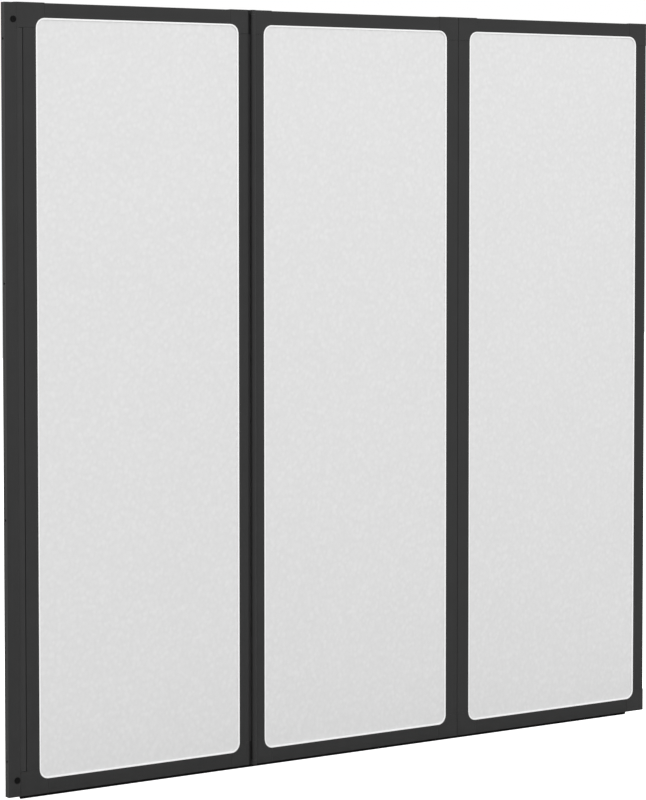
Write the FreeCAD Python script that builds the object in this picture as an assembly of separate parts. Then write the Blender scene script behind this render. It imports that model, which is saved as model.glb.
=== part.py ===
import FreeCAD, Part
import os
from FreeCAD import Vector

# A folding shower screen: three framed panels in a row on a wall channel. Millimetres.
# The origin is the middle of the wall channel's wall face. +X runs along the screen, away from the
# wall, +Z is up and -Y is the front. The first fold closes towards the front, the second to the back.

# Whole screen
frame_height = 1210.0
opening_width = 366.0
panel_count = 3
fold_sides = (-1, 1)

# Hollow frame profiles
rail_face = 22.5
stile_face = 22.5
fold_stile_face = 23.7
profile_depth = 12.0
profile_wall = 1.4
profile_edge = 0.6

# Sheet, and the gasket that holds it in the groove
sheet_thickness = 3.0
groove_front = 1.2
groove_depth = 9.0
groove_end_gap = 1.0
gasket_lip = 0.6
gasket_back = 0.7
gasket_sheet_gap = 0.3
gasket_side_gap = 0.1
bead_width = 2.6
bead_height = 1.5
bead_chamfer = 0.5

# Corner mouldings, their pegs and the screws that lock them
corner_radius = 15.0
corner_proud = 0.7
corner_step = 0.4
corner_chamfer = 0.4
joint_gap = 0.1
peg_length = 24.0
peg_root = 2.0
peg_gap = 0.15
lock_head_radius = 2.7
lock_head_height = 1.3
lock_radius = 1.2
lock_length = 6.5
lock_gap = 0.06

# Bottom seal
seal_drop = 4.6
seal_width = 8.0
seal_tip_width = 4.0
seal_neck = 2.4
seal_foot_width = 5.0
seal_foot_height = 1.6
seal_gap = 0.2
seal_lead = 1.8

# Wall channel, the jamb that slides in it, and the channel's end caps
channel_face = 19.5
channel_step = 0.2
channel_base = 1.6
channel_flange = 1.4
channel_edge = 0.8
wall_screw_radius = 2.0
wall_screw_end = 55.0
wall_screw_inner_span = 360.0
jamb_width = 10.0
jamb_wall = 1.4
jamb_play = 0.15
jamb_gap = 1.0
neck_width = 4.0
lip_gap = 0.25
lip_slit = 1.2
lip_depth = 3.2
crown_radius = 45.0
cap_height = 6.0
cap_gap = 0.1

# Clamp screws through the channel's front flange into the jamb
clamp_inset = 2.6
clamp_end = 25.5
clamp_radius = 1.5
clamp_length = 4.0
clamp_hole_gap = 0.2
thread_gap = 0.02
clamp_head_radius = 3.7
clamp_head_height = 0.7
washer_radius = 4.9
washer_height = 0.9
washer_floor = 0.3
washer_gap = 0.3
recess_length = 4.4
recess_width = 1.1
recess_depth = 0.5

# Wall hinge
ear_gap = 0.8
swing_gap = 0.5
wall_pin_radius = 2.0
wall_pin_seat = 14.0
wall_bush_wall = 1.2
wall_flange_radius = 4.7
fin_reach = 0.65
fin_width = 1.2

# Folds between the panels
fold_gap = 0.6
fold_axis_shift = 2.6
fold_clearance = 0.6
knuckle_radius = 4.0
knuckle_gap = 0.4
rebate_width = 6.4
rebate_depth = 3.6
fold_ear_height = 7.0
web_width = 2.4
web_root = 0.7
fold_pin_radius = 1.25
fold_pin_seat = 5.5
fold_bush_wall = 0.9

# Fits that every hinge shares
bush_length = 12.0
bush_flange = 0.6
bush_rim = 0.2
end_float = 0.1
press_gap = 0.02
running_gap = 0.05

# Every cut runs past its piece by this much
overrun = 1.0

# Heights and depths that follow from the sizes above
half_height = frame_height / 2
half_depth = profile_depth / 2
opening_height = frame_height - 2 * rail_face
corner_depth = half_depth + corner_step
groove_width = sheet_thickness + 2 * gasket_lip
groove_y = (groove_front - half_depth, groove_front + groove_width - half_depth)
sheet_y = (groove_y[0] + gasket_lip, groove_y[1] - gasket_lip)
gasket_hold = groove_depth - groove_end_gap
sheet_hold = gasket_hold - gasket_back - gasket_sheet_gap
joint_height = opening_height / 2 - corner_radius

# The ear of the first panel turns in the channel's mouth, clear of both flanges
channel_depth = half_depth + channel_step
channel_inner = channel_depth - channel_flange
mouth_reach = (corner_depth ** 2 - channel_inner ** 2) ** 0.5
wall_axis_x = channel_face + ear_gap + mouth_reach
swing_radius = channel_depth + swing_gap
first_left = wall_axis_x + swing_radius
fin_start = (swing_radius ** 2 - (swing_radius - fin_reach) ** 2) ** 0.5
jamb_front = wall_axis_x - corner_depth - jamb_gap
jamb_back = jamb_front - jamb_width
jamb_half = channel_inner - jamb_play
wall_screw_spans = (frame_height - 2 * wall_screw_end, wall_screw_inner_span)
nose_end = joint_height - bush_flange - end_float

along_y = Vector(0, 1, 0)
along_z = Vector(0, 0, 1)


def block(x, y, z):
    """A box between three pairs of limits, given in either order."""
    low = Vector(min(x), min(y), min(z))
    high = Vector(max(x), max(y), max(z))
    size = high - low
    return Part.makeBox(size.x, size.y, size.z, low)


def rod(radius, x, y, z):
    """An upright cylinder between two heights, given in either order."""
    return Part.makeCylinder(radius, max(z) - min(z), Vector(x, y, min(z)))


def prism(points, z):
    """An upright prism on an outline of (x, y) points, between two heights."""
    base = [Vector(x, y, min(z)) for x, y in points]
    return Part.Face(Part.makePolygon(base + base[:1])).extrude(along_z * (max(z) - min(z)))


def edges_along(shape, axis):
    """The edges that start parallel to an axis."""
    return [edge for edge in shape.Edges if round(abs(edge.tangentAt(edge.FirstParameter).dot(axis)))]


def edges_across(shape, axis):
    """The edges that start square to an axis."""
    return [edge for edge in shape.Edges if not round(abs(edge.tangentAt(edge.FirstParameter).dot(axis)))]


def one_solid(shape):
    """The shape as a single clean solid."""
    return shape.removeSplitter().Solids[0]


class Fold:
    """A fold between two panels: its axis, and the face that it closes towards (-1 front, 1 back)."""

    def __init__(self, side, parting):
        self.side = side
        self.x = parting + fold_axis_shift
        self.y = side * (half_depth + corner_step + fold_clearance)

    def rod(self, radius, z):
        return rod(radius, self.x, self.y, z)

    def rebate(self, right):
        """The room beside the knuckle, in the stile and corners of the panel that carries the fold."""
        depth = (self.side * (half_depth - rebate_depth), self.side * (corner_depth + overrun))
        heights = (-half_height - overrun, half_height + corner_proud + overrun)
        return block((right - rebate_width, right + overrun), depth, heights)


class Member:
    """One hollow profile of a panel's frame. It is drawn along +Z with its groove open at x = 0."""

    def __init__(self, face, spare, length, angle, x, z):
        self.face = face
        self.reach = length / 2
        self.angle = angle
        self.place = Vector(x, 0, z)
        self.chamber_x = (groove_depth + profile_wall, face - spare - profile_wall)
        self.chamber_y = (profile_wall - half_depth, half_depth - profile_wall)

    def placed(self, shape):
        shape.rotate(Vector(), along_y, self.angle)
        shape.translate(self.place)
        return shape

    def lock_screw(self, end, grow):
        """A countersunk screw from the back into the peg at one end, or its hole when grown."""
        x = sum(self.chamber_x) / 2
        z = end * (self.reach - peg_length / 2)
        head = Part.makeCone(lock_head_radius + grow, lock_radius + grow, lock_head_height,
                             Vector(x, half_depth, z), -along_y)
        shank = Part.makeCylinder(lock_radius + grow, lock_length + grow, Vector(x, half_depth, z), -along_y)
        return head.fuse(shank)

    def bar(self):
        ends = (-self.reach - overrun, self.reach + overrun)
        bar = block((0, self.face), (-half_depth, half_depth), (-self.reach, self.reach))
        bar = bar.makeFillet(profile_edge, edges_along(bar, along_z))
        groove = block((-overrun, groove_depth), groove_y, ends)
        chamber = block(self.chamber_x, self.chamber_y, ends)
        back_chamber = block((profile_wall, groove_depth), (groove_y[1] + profile_wall, self.chamber_y[1]), ends)
        holes = [self.lock_screw(end, lock_gap) for end in (-1, 1)]
        return self.placed(bar.cut([groove, chamber, back_chamber] + holes))

    def peg(self, end):
        """The corner moulding's peg inside one end of the profile."""
        x = (self.chamber_x[0] + peg_gap, self.chamber_x[1] - peg_gap)
        y = (self.chamber_y[0] + peg_gap, self.chamber_y[1] - peg_gap)
        z = (end * (self.reach - peg_length), end * (self.reach + peg_root))
        return self.placed(block(x, y, z).cut(self.lock_screw(end, lock_gap)))

    def lock_screws(self):
        return [self.placed(self.lock_screw(end, 0)) for end in (-1, 1)]


class Panel:
    """Where one panel's edges, opening and profiles lie, and the folds at its two sides."""

    def __init__(self, index, left, left_fold):
        last = index == panel_count - 1
        left_face = fold_stile_face if left_fold else stile_face
        right_face = stile_face if last else fold_stile_face
        self.name = f"panel_{index + 1}"
        self.left = left
        self.opening = (left + left_face, left + left_face + opening_width)
        self.right = self.opening[1] + right_face
        self.left_fold = left_fold
        self.right_fold = None if last else Fold(fold_sides[index], self.right + fold_gap / 2)
        middle = sum(self.opening) / 2
        left_spare = fold_axis_shift + knuckle_radius - fold_gap / 2 if left_fold else 0
        right_spare = 0 if last else rebate_width
        rail_length = opening_width - 2 * (corner_radius + joint_gap)
        stile_length = opening_height - 2 * (corner_radius + joint_gap)
        self.members = {
            "right_stile": Member(right_face, right_spare, stile_length, 0, self.opening[1], 0),
            "left_stile": Member(left_face, left_spare, stile_length, 180, self.opening[0], 0),
            "top_rail": Member(rail_face, 0, rail_length, -90, middle, opening_height / 2),
            "bottom_rail": Member(rail_face, 0, rail_length, 90, middle, -opening_height / 2),
        }

    def slab(self, grow, y):
        """The opening's rounded outline, grown or shrunk, as a slab between two depths."""
        x = (self.opening[0] - grow, self.opening[1] + grow)
        z = (-opening_height / 2 - grow, opening_height / 2 + grow)
        plain = block(x, y, z)
        return plain.makeFillet(corner_radius + grow, edges_along(plain, along_y))


def sheet(panel):
    return panel.slab(sheet_hold, sheet_y)


def gasket(panel):
    """A U round the sheet's edge, in the groove, with a narrow bead on the sheet's front and back."""
    front = (sheet_y[0] - bead_height, sheet_y[0])
    back = (sheet_y[1], sheet_y[1] + bead_height)
    whole = (front[0], back[1])
    clear = panel.slab(-bead_width, whole)
    beads = panel.slab(-gasket_side_gap, whole).cut(clear)
    inner_rims = [edge for edge in edges_across(beads, along_y)
                  if edge.distToShape(clear)[0] < gasket_side_gap]
    beads = beads.makeChamfer(bead_chamfer, inner_rims)
    channel = panel.slab(gasket_hold, groove_y).cut(clear)
    slot = panel.slab(gasket_hold - gasket_back, sheet_y)
    return one_solid(channel.fuse(beads).cut(slot))


def seal_length(panel):
    """Where the seal's neck and foot start and end in the bottom rail, clear of the corners' pegs."""
    inset = corner_radius + joint_gap + peg_length + seal_gap
    return (panel.opening[0] + inset, panel.opening[1] - inset)


def bottom_seal(panel):
    """A soft strip under the panel, with a T-shaped foot in the bottom rail's slot."""
    start = panel.left if panel.left_fold else wall_axis_x - seal_lead
    end = panel.right if panel.right_fold else panel.opening[1] - corner_radius
    outline = [(seal_width / 2, 0), (seal_tip_width / 2, -seal_drop),
               (-seal_tip_width / 2, -seal_drop), (-seal_width / 2, 0)]
    points = [Vector(start, y, z - half_height) for y, z in outline]
    strip = Part.Face(Part.makePolygon(points + points[:1])).extrude(Vector(end - start, 0, 0))
    foot_z = (profile_wall + seal_gap - half_height, profile_wall + seal_gap + seal_foot_height - half_height)
    neck = block(seal_length(panel), (-seal_neck / 2, seal_neck / 2), (-half_height, foot_z[1]))
    foot = block(seal_length(panel), (-seal_foot_width / 2, seal_foot_width / 2), foot_z)
    return one_solid(strip.fuse([neck, foot]))


def seal_slot(panel):
    slot = seal_neck / 2 + seal_gap
    rail = (panel.opening[0], panel.opening[1])
    return block(rail, (-slot, slot), (-half_height - overrun, profile_wall + seal_gap - half_height))


def fold_ear(fold, right, outer, side_z):
    """The ear that holds a fold's pin, on a web that comes out of the rebate's floor."""
    ear_z = (outer, outer - side_z * fold_ear_height)
    floor_y = fold.side * (half_depth - rebate_depth)
    root_y = fold.side * (half_depth - rebate_depth - web_root)
    web = [(right - web_width, root_y),
           (right - web_width, floor_y),
           (fold.x - knuckle_radius, fold.y),
           (fold.x, fold.y - fold.side * knuckle_radius),
           (right, root_y)]
    return fold.rod(knuckle_radius, ear_z).fuse(prism(web, ear_z))


def fold_pocket(fold, left, outer, side_z):
    """The room for that ear, in the next panel's corner."""
    room_z = (outer + side_z * overrun, knuckle_end(outer, side_z))
    web_back = fold.side * (half_depth - rebate_depth - web_root - knuckle_gap)
    slot = block((left - overrun, fold.x), (fold.side * (corner_depth + overrun), web_back), room_z)
    return fold.rod(knuckle_radius + knuckle_gap, room_z).fuse(slot)


def knuckle_end(outer, side_z):
    """The height at which the knuckle stops, below the ear and the bush's flange."""
    return outer - side_z * (fold_ear_height + bush_flange + end_float)


def outer_height(side_z):
    """The corner mouldings stand proud of the top rail, and are flush with the bottom rail."""
    return half_height + corner_proud if side_z > 0 else -half_height


def bush_bore(radius, x, y, end, side_z):
    """The bore for a bush, from the end of a knuckle or of the wall hinge's nose."""
    return rod(radius + press_gap, x, y, (end + side_z * overrun, end - side_z * bush_length))


def corner(panel, side_x, side_z):
    """A moulded corner with a rounded inner side, the sheet's groove, two pegs and its hinge features."""
    right = side_x > 0
    edge = panel.opening[1] if right else panel.opening[0]
    fold = panel.right_fold if right else panel.left_fold
    free = right and not fold
    outer_x = panel.right if right else panel.left
    if free:
        outer_x += corner_proud
    outer_z = outer_height(side_z)
    joint_z = side_z * joint_height
    height = (joint_z, outer_z)
    depth = (-corner_depth, corner_depth)
    plate = block((edge - side_x * corner_radius, outer_x), depth, height)
    plate = plate.cut(panel.slab(0, depth))
    plate = plate.makeChamfer(corner_chamfer, edges_across(plate, along_y))
    stile = panel.members["right_stile" if right else "left_stile"]
    rail = panel.members["top_rail" if side_z > 0 else "bottom_rail"]
    pegs = [stile.peg(side_x * side_z), rail.peg(-side_x * side_z)]
    body = plate.cut(panel.slab(groove_depth, groove_y)).fuse(pegs)
    if fold and right:
        ear = fold_ear(fold, panel.right, outer_z, side_z)
        ear_end = outer_z - side_z * fold_ear_height
        seat = (ear_end - side_z * overrun, ear_end + side_z * fold_pin_seat)
        body = body.cut(fold.rebate(panel.right)).fuse(ear).cut(fold.rod(fold_pin_radius + press_gap, seat))
    elif fold:
        end = knuckle_end(outer_z, side_z)
        body = body.cut(fold_pocket(fold, panel.left, outer_z, side_z))
        body = body.fuse(fold.rod(knuckle_radius, (joint_z, end)))
        body = body.cut(bush_bore(fold_pin_radius + running_gap + fold_bush_wall, fold.x, fold.y, end, side_z))
    elif not right:
        neck = block((wall_axis_x, panel.left + corner_step), (-corner_depth, mouth_reach), height)
        lip = block((channel_face + lip_gap, wall_axis_x), (-corner_depth, lip_depth - corner_depth), height)
        ear = rod(corner_depth, wall_axis_x, 0, height).fuse([neck, lip])
        seat = (joint_z - side_z * overrun, joint_z + side_z * wall_pin_seat)
        body = body.fuse(crowned(ear, corner_depth, height))
        body = body.cut(rod(wall_pin_radius + press_gap, wall_axis_x, 0, seat))
    return one_solid(body)


def stile(panel, name):
    """An upright profile, with the fold's rebate or knuckle, or the fin that covers the wall hinge's gap."""
    member = panel.members[name]
    ends = (-member.reach, member.reach)
    bar = member.bar()
    if name == "right_stile" and panel.right_fold:
        bar = bar.cut(panel.right_fold.rebate(panel.right))
    elif name == "left_stile" and panel.left_fold:
        bar = bar.fuse(panel.left_fold.rod(knuckle_radius, ends))
    elif name == "left_stile":
        fin_x = (panel.left - fin_reach, panel.left + profile_edge)
        bar = bar.fuse(block(fin_x, (fin_start, fin_start + fin_width), ends))
    return one_solid(bar)


def flanged_bush(inner, outer, rim, x, y, end, side_z):
    """A nylon bush in a bore, with a flange that carries the thrust on the bore's end."""
    sleeve = rod(outer, x, y, (end, end - side_z * bush_length))
    flange = rod(rim, x, y, (end, end + side_z * bush_flange))
    through = (end + side_z * overrun, end - side_z * (bush_length + overrun))
    return one_solid(sleeve.fuse(flange).cut(rod(inner, x, y, through)))


def fold_bushes(fold):
    inner = fold_pin_radius + running_gap
    rim = knuckle_radius - bush_rim
    ends = [(knuckle_end(outer_height(side), side), side) for side in (1, -1)]
    return [flanged_bush(inner, inner + fold_bush_wall, rim, fold.x, fold.y, end, side) for end, side in ends]


def fold_pins(fold):
    pins = []
    for side in (1, -1):
        outer = outer_height(side)
        top = outer - side * (fold_ear_height - fold_pin_seat)
        low = knuckle_end(outer, side) - side * (bush_length - end_float)
        pins.append(fold.rod(fold_pin_radius, (top, low)))
    return pins


def wall_bushes():
    inner = wall_pin_radius + running_gap
    outer = inner + wall_bush_wall
    return [flanged_bush(inner, outer, wall_flange_radius, wall_axis_x, 0, side * nose_end, side)
            for side in (1, -1)]


def wall_pins():
    low = nose_end - bush_length + end_float
    return [rod(wall_pin_radius, wall_axis_x, 0, (side * low, side * (joint_height + wall_pin_seat)))
            for side in (1, -1)]


def clamp_places():
    """The two clamp screws, as (x, z) on the channel's front flange."""
    return [(jamb_front - clamp_inset, side * (half_height - clamp_end)) for side in (1, -1)]


def across_front(radius, x, z, front, length):
    """A cylinder into the screen from a given depth, along +Y."""
    return Part.makeCylinder(radius, length, Vector(x, front, z), along_y)


def wall_channel():
    """A U profile open towards the screen, with holes in its base and in its front flange."""
    height = (-half_height, half_height)
    body = block((0, channel_face), (-channel_depth, channel_depth), height)
    body = body.makeFillet(channel_edge, edges_along(body, along_z))
    inside = (-half_height - overrun, half_height + overrun)
    cuts = [block((channel_base, channel_face + overrun), (-channel_inner, channel_inner), inside)]
    for span in wall_screw_spans:
        for side in (1, -1):
            start = Vector(-overrun, 0, side * span / 2)
            cuts.append(Part.makeCylinder(wall_screw_radius, channel_base + 2 * overrun, start, Vector(1, 0, 0)))
    for x, z in clamp_places():
        cuts.append(across_front(clamp_radius + clamp_hole_gap, x, z, -channel_depth - overrun,
                                 channel_flange + 2 * overrun))
    return one_solid(body.cut(cuts))


def crowned(shape, front, z):
    """A piece of the wall hinge, its front curved back towards the channel from the first panel's edge."""
    return shape.common(rod(crown_radius, first_left, crown_radius - front, z))


def hinge_jamb():
    """A box section that slides in the channel, with a neck and the round nose of the wall hinge. A crowned lip
    on the nose, and on the ears above and below it, fills the front between the channel and the first panel."""
    reach = half_height - cap_height - cap_gap
    box = block((jamb_back, jamb_front), (-jamb_half, jamb_half), (-reach, reach))
    hollow_y = (jamb_wall - jamb_half, jamb_half - jamb_wall)
    hollow = block((jamb_back + jamb_wall, jamb_front - jamb_wall), hollow_y, (-reach - overrun, reach + overrun))
    nose_z = (-nose_end, nose_end)
    neck = block((jamb_front, wall_axis_x), (-neck_width / 2, neck_width / 2), nose_z)
    lip = block((channel_face + lip_gap, first_left - lip_slit), (-channel_depth, lip_depth - channel_depth), nose_z)
    nose = crowned(rod(channel_depth, wall_axis_x, 0, nose_z).fuse(lip), channel_depth, nose_z)
    body = box.cut(hollow).fuse([neck, nose])
    bore = wall_pin_radius + running_gap + wall_bush_wall
    cuts = [bush_bore(bore, wall_axis_x, 0, side * nose_end, side) for side in (1, -1)]
    for x, z in clamp_places():
        cuts.append(across_front(clamp_radius + thread_gap, x, z, -jamb_half - overrun, jamb_wall + 2 * overrun))
    return one_solid(body.cut(cuts))


def channel_cap(side):
    """A plug in one end of the channel, behind the first panel's ear."""
    inner = channel_inner - cap_gap
    return block((channel_base + cap_gap, jamb_front), (-inner, inner),
                 (side * half_height, side * (half_height - cap_height)))


def clamp_washer(x, z):
    """A cup washer that takes the screw's head below its rim."""
    front = -channel_depth - washer_height
    disc = across_front(washer_radius, x, z, front, washer_height)
    cup = across_front(clamp_head_radius + washer_gap, x, z, front, washer_height - washer_floor)
    hole = across_front(clamp_radius + clamp_hole_gap, x, z, front, washer_height)
    return one_solid(disc.cut([cup, hole]))


def clamp_screw(x, z):
    """A low round-headed screw with a cross recess."""
    seat = -channel_depth - washer_floor
    head = across_front(clamp_head_radius, x, z, seat - clamp_head_height, clamp_head_height)
    shank = across_front(clamp_radius, x, z, seat, clamp_length)
    face = seat - clamp_head_height
    depth = (face, face + recess_depth)
    long_limits = (-recess_length / 2, recess_length / 2)
    short_limits = (-recess_width / 2, recess_width / 2)
    arms = []
    for across, up in ((long_limits, short_limits), (short_limits, long_limits)):
        arms.append(block((x + across[0], x + across[1]), depth, (z + up[0], z + up[1])))
    return one_solid(head.fuse(shank).cut(arms))


def make_panels():
    panels = []
    left = first_left
    fold = None
    for index in range(panel_count):
        panels.append(Panel(index, left, fold))
        fold = panels[-1].right_fold
        left = panels[-1].right + fold_gap
    return panels


def panel_nodes(panel):
    """Every piece of one panel, by name."""
    nodes = {"sheet": sheet(panel), "gasket": gasket(panel), "bottom_seal": bottom_seal(panel)}
    for name in ("left_stile", "right_stile"):
        nodes[name] = stile(panel, name)
    nodes["top_rail"] = one_solid(panel.members["top_rail"].bar())
    nodes["bottom_rail"] = one_solid(panel.members["bottom_rail"].bar().cut(seal_slot(panel)))
    for side_z, height in ((1, "top"), (-1, "bottom")):
        for side_x, hand in ((-1, "left"), (1, "right")):
            nodes[f"{height}_{hand}_corner"] = corner(panel, side_x, side_z)
    screws = [screw for member in panel.members.values() for screw in member.lock_screws()]
    nodes["corner_screws"] = Part.makeCompound(screws)
    return {f"{panel.name}_{name}": shape for name, shape in nodes.items()}


panels = make_panels()
nodes = {
    "wall_channel": wall_channel(),
    "hinge_jamb": hinge_jamb(),
    "channel_top_cap": channel_cap(1),
    "channel_bottom_cap": channel_cap(-1),
    "clamp_washers": Part.makeCompound([clamp_washer(x, z) for x, z in clamp_places()]),
    "clamp_screws": Part.makeCompound([clamp_screw(x, z) for x, z in clamp_places()]),
    "wall_hinge_bushes": Part.makeCompound(wall_bushes()),
    "wall_hinge_pins": Part.makeCompound(wall_pins()),
}
for panel in panels:
    nodes.update(panel_nodes(panel))
for name, panel in (("first_fold", panels[0]), ("second_fold", panels[1])):
    nodes[f"{name}_pins"] = Part.makeCompound(fold_pins(panel.right_fold))
    nodes[f"{name}_bushes"] = Part.makeCompound(fold_bushes(panel.right_fold))

os.makedirs("parts", exist_ok=True)
for name, shape in nodes.items():
    shape.exportStep(f"parts/{name}.step")
    print(name, len(shape.Solids), "solids", round(shape.Volume / 1000, 2), "cm3", shape.isValid())
for panel in panels:
    fold = panel.right_fold
    print(panel.name, "opening", panel.opening, "edges", panel.left, panel.right)
    if fold:
        print("fold axis", fold.x, fold.y)
print("wall hinge axis", wall_axis_x, "nodes", len(nodes))
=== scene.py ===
import math
import bpy
import numpy as np
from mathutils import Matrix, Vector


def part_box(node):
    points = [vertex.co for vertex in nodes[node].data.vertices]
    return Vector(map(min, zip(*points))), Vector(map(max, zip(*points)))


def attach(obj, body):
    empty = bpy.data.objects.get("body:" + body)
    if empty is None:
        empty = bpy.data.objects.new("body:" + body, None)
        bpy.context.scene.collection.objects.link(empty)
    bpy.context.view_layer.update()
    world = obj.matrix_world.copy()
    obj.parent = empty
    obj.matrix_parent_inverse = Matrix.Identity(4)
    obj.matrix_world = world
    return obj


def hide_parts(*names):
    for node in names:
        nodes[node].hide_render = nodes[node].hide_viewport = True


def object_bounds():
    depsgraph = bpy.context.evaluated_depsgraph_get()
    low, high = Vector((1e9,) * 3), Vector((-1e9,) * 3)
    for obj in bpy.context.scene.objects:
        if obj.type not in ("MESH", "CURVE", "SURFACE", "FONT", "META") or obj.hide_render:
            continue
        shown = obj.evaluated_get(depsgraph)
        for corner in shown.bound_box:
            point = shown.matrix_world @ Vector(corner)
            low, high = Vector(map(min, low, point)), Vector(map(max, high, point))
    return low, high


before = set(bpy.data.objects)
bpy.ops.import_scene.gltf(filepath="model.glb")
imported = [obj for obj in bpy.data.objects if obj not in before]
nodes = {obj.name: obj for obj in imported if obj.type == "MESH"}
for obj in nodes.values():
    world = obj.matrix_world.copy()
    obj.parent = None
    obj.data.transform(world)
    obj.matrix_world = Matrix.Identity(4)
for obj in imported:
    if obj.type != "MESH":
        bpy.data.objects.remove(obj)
cad_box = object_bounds()


# Wall channel and hinge jamb: aluminium extrusions, sawn to length and powder coated in a satin dark grey.
# The channel is screwed to the wall through its base, and the jamb slides in it to take up a wall that
# leans.
coat_dark = 0.019
coat_light = 0.033
jamb_dark = 0.024
jamb_light = 0.038
streak_size = 0.004
cloud_size = 0.035
peel_size = 0.0022
grain_size = 0.0004
peel_height = 0.00006
# Painted light: the coat is painted paler, up to this grey, within this reach of the corner of a fold's
# rebate.
rebate_painted_light_grey = 0.065
rebate_painted_light_reach = 0.0045
upright_streaks = (1, 1, 0.01)


class Shade:
    """A value, colour or vector in a material's nodes. Sums, differences and products of values add Math
    nodes."""

    def __init__(self, tree, socket=None):
        self.tree = tree
        self.socket = socket

    def node(self, kind, settings, inputs, output=0):
        """Any node: its type, its settings, the values or links of its inputs, and the output to give."""
        made = self.tree.nodes.new(kind)
        for key, value in settings.items():
            setattr(made, key, value)
        for key, value in inputs.items():
            if isinstance(value, Shade):
                self.tree.links.new(value.socket, made.inputs[key])
            else:
                made.inputs[key].default_value = value
        return Shade(self.tree, made.outputs[output])

    def into(self, socket):
        """Links this to a shader's socket."""
        self.tree.links.new(self.socket, socket)

    def math(self, operation, first, second):
        return self.node("ShaderNodeMath", {"operation": operation}, {0: first, 1: second})

    def __add__(self, other):
        return self.math("ADD", self, other)

    __radd__ = __add__

    def __mul__(self, other):
        return self.math("MULTIPLY", self, other)

    __rmul__ = __mul__

    def __sub__(self, other):
        return self.math("SUBTRACT", self, other)

    def __rsub__(self, other):
        return self.math("SUBTRACT", other, self)

    def stretched(self, x, y, z):
        """These coordinates times a factor on each axis."""
        return self.node("ShaderNodeVectorMath", {"operation": "MULTIPLY"}, {0: self, 1: (x, y, z)})

    def distance(self, point):
        """How far these coordinates are from a point, in metres."""
        return self.node("ShaderNodeVectorMath", {"operation": "DISTANCE"}, {0: self, 1: point}, "Value")

    def noise(self, size, detail=0.0):
        """Soft noise between 0 and 1 at these coordinates, with spots of about the given size in metres."""
        inputs = {"Vector": self, "Scale": 1 / size, "Detail": detail}
        return self.node("ShaderNodeTexNoise", {}, inputs)

    def blend(self, low, high):
        """The colour that this value picks, from low at 0 to high at 1. An end is a grey or a colour."""
        ends = [end if isinstance(end, Shade) else (end, end, end, 1) for end in (low, high)]
        return self.node("ShaderNodeMix", {"data_type": "RGBA"}, {0: self, 6: ends[0], 7: ends[1]}, 2)

    def raised(self, height):
        """A surface normal for this value as a relief of the given height in metres."""
        inputs = {"Strength": 1.0, "Distance": height, "Height": self}
        return self.node("ShaderNodeBump", {}, inputs)


def new_finish(name, constants):
    """A material with one shader, the constants set on it. Gives the material, the shader's sockets and the
    coordinates."""
    material = bpy.data.materials.new(name)
    material.use_nodes = True
    shader = material.node_tree.nodes["Principled BSDF"]
    for key, value in constants.items():
        shader.inputs[key].default_value = value
    place = Shade(material.node_tree).node("ShaderNodeTexCoord", {}, {}, "Object")
    return material, shader.inputs, place


def powder_coat(name, streaks, dark, light, painted_light_seam=None):
    """Satin powder coat: a fine grain over a slow orange peel, with faint streaks along the extrusion.
    Given a point, the coat is painted paler towards the upright line through it: painted light in a fold's
    rebate."""
    coat, surface, place = new_finish(name, {"IOR": 1.45, "Specular IOR Level": 0.26})
    streak = place.stretched(*streaks).noise(streak_size, detail=1.0)
    cloud = place.noise(cloud_size, detail=2.0)
    peel = place.noise(peel_size, detail=1.0)
    grain = place.noise(grain_size)
    tone = (0.4 * cloud + 0.3 * streak + 0.3 * grain).blend(dark, light)
    # Painted light: the coat is painted paler near the rebate's corner, lifting the shade that falls there.
    if painted_light_seam:
        painted_light_share = 1 - place.stretched(1, 1, 0).distance(painted_light_seam) * (1 / rebate_painted_light_reach)
        tone = painted_light_share.blend(tone, rebate_painted_light_grey)
    tone.into(surface["Base Color"])
    (0.34 + 0.12 * grain + 0.10 * cloud).into(surface["Roughness"])
    (0.7 * peel + 0.3 * grain).raised(peel_height).into(surface["Normal"])
    return coat


def dress(finish, *names):
    """Gives CAD nodes their finish."""
    for name in names:
        for slot in nodes[name].material_slots:
            slot.material = finish


upright_coat = powder_coat("upright_powder_coat", upright_streaks, coat_dark, coat_light)
dress(upright_coat, "wall_channel")
dress(powder_coat("jamb_powder_coat", upright_streaks, jamb_dark, jamb_light), "hinge_jamb")

# End caps of the wall channel: moulded nylon plugs with the fine grain of a spark-eroded mould, pressed
# in. The corner mouldings of the panels are made of the same dark plastic, dyed to match the coat.
pit_size = 0.0007
pit_height = 0.00005
flow_size = 0.02
swell_size = 0.003
moulding, surface, place = new_finish("grained_moulding", {"IOR": 1.5, "Specular IOR Level": 0.24})
cells = {"Vector": place, "Scale": 1 / pit_size}
pits = place.node("ShaderNodeTexVoronoi", {"feature": "SMOOTH_F1"}, cells, "Distance")
flow = place.noise(flow_size, detail=2.0)
(0.5 * flow + 0.5 * pits).blend(coat_dark, coat_light).into(surface["Base Color"])
(0.40 + 0.10 * flow + 0.10 * pits).into(surface["Roughness"])
(pits + 0.5 * place.noise(swell_size)).raised(pit_height).into(surface["Normal"])
dress(moulding, "channel_top_cap", "channel_bottom_cap")

# Clamp screws and their cup washers: turned steel, blackened and oiled, and rubbed a little unevenly.
# They hold the jamb at its place in the channel.
black_dark = 0.002
black_light = 0.007
rub_size = 0.0015
turning_size = 0.001
turning_height = 0.00002
turning_lines = (1, 1, 6)
blackened, surface, place = new_finish("blackened_steel", {"IOR": 1.5, "Specular IOR Level": 0.08})
rub = place.noise(rub_size, detail=2.0)
rub.blend(black_dark, black_light).into(surface["Base Color"])
(0.38 + 0.25 * rub).into(surface["Roughness"])
turning = place.stretched(*turning_lines).noise(turning_size, detail=1.0)
turning.raised(turning_height).into(surface["Normal"])
dress(blackened, "clamp_washers", "clamp_screws")

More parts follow.
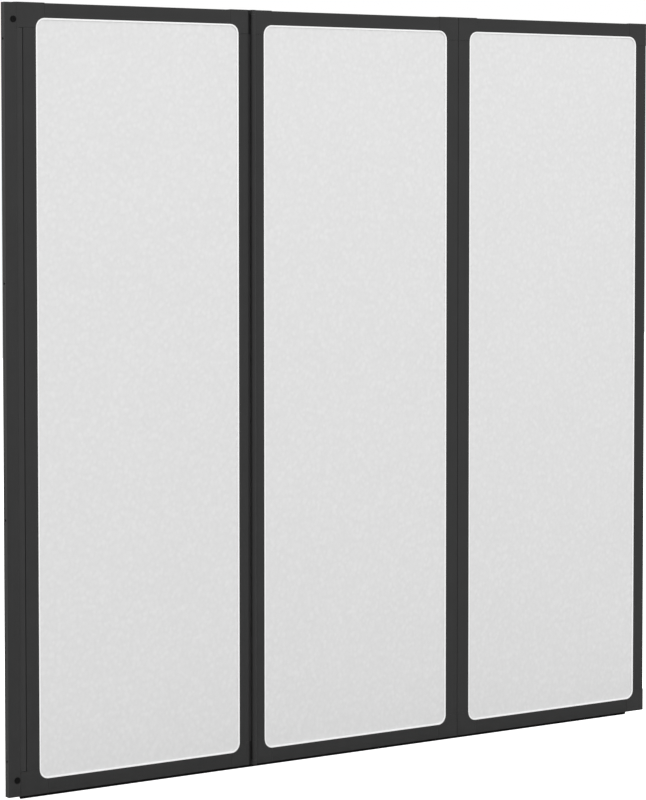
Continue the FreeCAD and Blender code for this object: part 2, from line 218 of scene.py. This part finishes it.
# Wall hinge: two bright steel pins, ground across their length, that turn in flanged bushes of dark nylon
# pressed into the jamb's nose.
steel_dark = 0.45
steel_light = 0.68
grinding_size = 0.0003
grinding_height = 0.000004
grinding_lines = (0.05, 0.05, 1)
ground, surface, place = new_finish("ground_steel", {"Metallic": 1.0})
grinding = place.stretched(*grinding_lines).noise(grinding_size, detail=2.0)
grinding.blend(steel_dark, steel_light).into(surface["Base Color"])
(0.22 + 0.16 * grinding).into(surface["Roughness"])
grinding.raised(grinding_height).into(surface["Normal"])
dress(ground, "wall_hinge_pins")

nylon_dark = 0.02
nylon_light = 0.045
mottle_size = 0.002
mottle_height = 0.00002
nylon, surface, place = new_finish("dark_nylon", {"IOR": 1.53})
mottle = place.noise(mottle_size, detail=2.0)
mottle.blend(nylon_dark, nylon_light).into(surface["Base Color"])
(0.38 + 0.20 * mottle).into(surface["Roughness"])
mottle.raised(mottle_height).into(surface["Normal"])
dress(nylon, "wall_hinge_bushes")

# Panel frames: hollow aluminium profiles in the same powder coat, joined by the corner mouldings, whose
# pegs plug into them and are locked by small screws from the back. At a fold, the near panel's stile has a
# rebate beside the next panel's knuckle, on the front or on the back.
panels = ("panel_1", "panel_2", "panel_3")
level_streaks = (0.01, 1, 1)
level_coat = powder_coat("level_powder_coat", level_streaks, coat_dark, coat_light)
for panel in panels:
    dress(upright_coat, f"{panel}_left_stile", f"{panel}_right_stile")
    dress(level_coat, f"{panel}_top_rail", f"{panel}_bottom_rail")
    for corner in ("top_left", "top_right", "bottom_left", "bottom_right"):
        dress(moulding, f"{panel}_{corner}_corner")
    dress(blackened, f"{panel}_corner_screws")

# Painted light: the stiles at each fold get a coat painted paler towards the corner of the rebate, lifting
# the shade there.
rebate_depth = 0.0036
fold_gap = 0.0006
front, back = -1, 1
fold_stiles = {"first": ("panel_1_right_stile", "panel_2_left_stile", front),
               "second": ("panel_2_right_stile", "panel_3_left_stile", back)}
for fold, (near, far, side) in fold_stiles.items():
    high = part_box(near)[1]
    painted_light_seam = (high[0] + fold_gap / 2, side * (high[1] - rebate_depth), 0)
    fold_painted_light_coat = powder_coat(f"{fold}_fold_coat_painted_light", upright_streaks, coat_dark, coat_light, painted_light_seam)
    dress(fold_painted_light_coat, near, far)

# Sheets: milky polystyrene, extruded 3 mm thick and passed under a roller that leaves a relief of shallow
# drops on the front. The back is smooth. Each sheet has rounded corners, and its edge sits in the frame's
# groove.
drop_width = 0.0064
drop_height = 0.0074
drop_depth = 0.00042
least_reach = 0.45
reach_spread = 0.40
least_dome = 0.30
joining_power = 4
sheet_step = 0.0022
sheet_radius = 0.022
plain_edge = 0.0092
relief_fade = 0.0015
crease_angle = math.radians(50)


def drop_relief(x, z, seed):
    """Height from 0 to 1 of a field of drops at points x, z. The field is a grid of cells with one drop in
    each, at a random place, and reaches one cell past the points. A drop is the dome
    1 - (distance / reach)^2 times its own height, and where drops meet the relief is the fourth root of the
    sum of their fourth powers, which joins them smoothly."""
    column = np.floor(x / drop_width).astype(int)
    row = np.floor(z / drop_height).astype(int)
    first_column = column.min() - 1
    first_row = row.min() - 1
    cells = (column.max() + 2 - first_column, row.max() + 2 - first_row)
    draw = np.random.default_rng(seed).random((4, *cells))
    total = np.zeros_like(x)
    for step_x in (-1, 0, 1):
        for step_z in (-1, 0, 1):
            cell = (column + step_x - first_column, row + step_z - first_row)
            off_x, off_z, size, height = (values[cell] for values in draw)
            across = x / drop_width - (column + step_x + off_x)
            up = z / drop_height - (row + step_z + off_z)
            reach = least_reach + reach_spread * size
            dome = np.clip(1 - (across ** 2 + up ** 2) / reach ** 2, 0, None)
            total += (dome * (least_dome + (1 - least_dome) * height ** 2)) ** joining_power
    return np.clip(total ** (1 / joining_power), 0, 1)


def relief_sheet(name, low, high, seed):
    """A closed sheet in the box from low to high. Its front is a grid in rows: a row at height z is as wide
    as the rounded outline there, the full half width less radius - sqrt(radius^2 - rise^2) where rise is
    how far the row stands into the corner. The relief is cut into the front, the back is one flat face, and
    quads join the rims."""
    middle = (low + high) / 2
    half_x, _, half_z = (high - low) / 2
    columns = 2 * round(half_x / sheet_step) + 1
    rows = 2 * round(half_z / sheet_step) + 1
    across = np.linspace(-1, 1, columns)[None, :]
    z = np.linspace(-half_z, half_z, rows)[:, None]
    rise = np.clip(np.abs(z) - (half_z - sheet_radius), 0, sheet_radius)
    width = half_x - sheet_radius + np.sqrt(sheet_radius ** 2 - rise ** 2)
    x = across * width
    z = np.broadcast_to(z, x.shape)

    edge = np.minimum(width - np.abs(x), half_z - np.abs(z))
    shown = np.clip((edge - plain_edge) / relief_fade, 0, 1)
    hollow = shown * (1 - drop_relief(x, z, seed))
    depth = drop_depth * hollow
    face = np.stack([middle[0] + x, low[1] + depth, middle[2] + z], axis=-1).reshape(-1, 3)

    index = np.arange(rows * columns).reshape(rows, columns)
    corners = [index[:-1, :-1], index[:-1, 1:], index[1:, 1:], index[1:, :-1]]
    quads = np.stack(corners, axis=-1).reshape(-1, 4)
    rim = np.concatenate([index[0, :-1], index[:-1, -1], index[-1, :0:-1], index[:0:-1, 0]])
    flat = face[rim]
    flat[:, 1] = high[1]
    flat_rim = np.arange(len(rim)) + len(face)
    sides = np.stack([np.roll(rim, -1), rim, flat_rim, np.roll(flat_rim, -1)], axis=-1)
    faces = quads.tolist() + sides.tolist() + [flat_rim[::-1].tolist()]

    mesh = bpy.data.meshes.new(name)
    mesh.from_pydata(np.concatenate([face, flat]), [], faces)
    mesh.polygons.foreach_set("use_smooth", np.ones(len(faces), bool))
    mesh.set_sharp_from_angle(angle=crease_angle)
    thickness = np.ones(len(mesh.vertices))
    thickness[:hollow.size] -= hollow.ravel()
    mesh.attributes.new("thickness", "FLOAT", "POINT").data.foreach_set("value", thickness)
    made = bpy.data.objects.new(name, mesh)
    bpy.context.collection.objects.link(made)
    return made


milky_dark = 0.70
milky_light = 0.785
haze_size = 0.12
ripple_size = 0.0045
skin_size = 0.0012
ripple_height = 0.00008
milky, surface, place = new_finish("milky_relief_sheet", {"IOR": 1.55, "Specular IOR Level": 0.35})
haze = place.noise(haze_size, detail=2.0)
ripple = place.noise(ripple_size, detail=1.0)
skin = place.noise(skin_size)
thickness = place.node("ShaderNodeAttribute", {"attribute_name": "thickness"}, {}, "Fac")
milkiness = 0.2 * haze + 0.2 * ripple + 0.6 * thickness
milkiness.blend(milky_dark, milky_light).into(surface["Base Color"])
(0.30 + 0.12 * skin).into(surface["Roughness"])
(0.7 * ripple + 0.3 * skin).raised(ripple_height).into(surface["Normal"])
for number, panel in enumerate(panels):
    low, high = np.array(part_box(f"{panel}_sheet"))
    sheet = relief_sheet(f"{panel}_relief_sheet", low, high, number)
    sheet.data.materials.append(milky)
    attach(sheet, panel)
    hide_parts(f"{panel}_sheet")

# Glazing gaskets: soft white PVC, extruded as a U that grips the sheet's edge, with a narrow bead on each
# face. They are pressed into the frames' grooves with the sheets.
pvc_dark = 0.94
pvc_light = 0.98
dulling_size = 0.006
wave_size = 0.0015
wave_height = 0.00003
white_pvc, surface, place = new_finish("soft_white_pvc", {"IOR": 1.52})
dulling = place.noise(dulling_size, detail=2.0)
dulling.blend(pvc_dark, pvc_light).into(surface["Base Color"])
(0.42 + 0.16 * dulling).into(surface["Roughness"])
place.noise(wave_size, detail=1.0).raised(wave_height).into(surface["Normal"])
dress(white_pvc, *(f"{panel}_gasket" for panel in panels))

# Bottom seals: dull black rubber strips, extruded with a T-shaped foot that slides into the bottom rail's
# slot. They are cut to the panels' lengths, so that they part at the folds.
rubber_dark = 0.002
rubber_light = 0.005
drawn_size = 0.0008
drawn_height = 0.00004
drawn_lines = (0.02, 1, 1)
bloom_size = 0.015
rubber, surface, place = new_finish("dull_black_rubber", {"IOR": 1.52, "Specular IOR Level": 0.08})
drawn = place.stretched(*drawn_lines).noise(drawn_size, detail=1.0)
bloom = place.noise(bloom_size, detail=2.0)
bloom.blend(rubber_dark, rubber_light).into(surface["Base Color"])
(0.58 + 0.14 * drawn).into(surface["Roughness"])
drawn.raised(drawn_height).into(surface["Normal"])
dress(rubber, *(f"{panel}_bottom_seal" for panel in panels))

# Folds between the panels: short ground pins in the ears of one panel, turning in nylon bushes that are
# pressed into the ends of the next panel's knuckle.
dress(ground, "first_fold_pins", "second_fold_pins")
dress(nylon, "first_fold_bushes", "second_fold_bushes")

# Studio: a plain white room with one large soft light above the front, and a white floor under the seals.
# The floor glows to the camera alone, so it shows as plain white, as the room does, and its glow lights
# nothing.
world = bpy.data.worlds.new("white_room")
bpy.context.scene.world = world
world.use_nodes = True
world.node_tree.nodes["Background"].inputs["Color"].default_value = (1, 1, 1, 1)

floor_half = 9.0
floor_gap = 0.0005
floor_dark = 0.64
floor_light = 0.68
floor_patch = 0.4
floor_mesh = bpy.data.meshes.new("floor")
square = np.array([(-1, -1, 0), (1, -1, 0), (1, 1, 0), (-1, 1, 0)]) * floor_half
floor_mesh.from_pydata(square + (0, 0, cad_box[0][2] - floor_gap), [], [(0, 1, 2, 3)])
floor = bpy.data.objects.new("floor", floor_mesh)
bpy.context.collection.objects.link(floor)
white_floor, surface, place = new_finish("white_floor", {"Roughness": 0.9, "Emission Strength": 1.0})
place.noise(floor_patch, detail=2.0).blend(floor_dark, floor_light).into(surface["Base Color"])
place.node("ShaderNodeLightPath", {}, {}, "Is Camera Ray").blend(0, 1).into(surface["Emission Color"])
floor_mesh.materials.append(white_floor)

light_place = np.array((0.7, -3.4, 2.8))
light_aim = np.array((0.64, 0, 0.3))
heading = light_aim - light_place
light_tilt = math.atan2(np.hypot(heading[0], heading[1]), -heading[2])
light_turn = math.atan2(-heading[0], heading[1])
light_data = bpy.data.lights.new("front_light", "AREA")
light_data.energy = 38.0
light_data.size = 3.0
light = bpy.data.objects.new("front_light", light_data)
light.location = light_place
light.rotation_euler = (light_tilt, 0, light_turn)
bpy.context.collection.objects.link(light)

# Camera: a long lens a little above the middle, looking along the screen from its wall end. Its place and
# turn were fitted to the screen's corners in the photograph.
camera_dip = 2.901
camera_turn = 35.047
camera_data = bpy.data.cameras.new("camera")
camera_data.lens = 132.49
camera_data.sensor_width = 36.0
camera_data.shift_x = -0.0253
camera_data.shift_y = -0.11
camera = bpy.data.objects.new("camera", camera_data)
camera.location = (-2.1361, -3.9388, 0.3628)
camera.rotation_euler = (math.radians(90 - camera_dip), 0, math.radians(-camera_turn))
bpy.context.collection.objects.link(camera)
bpy.context.scene.camera = camera
bpy.context.scene.view_settings.view_transform = "Standard"
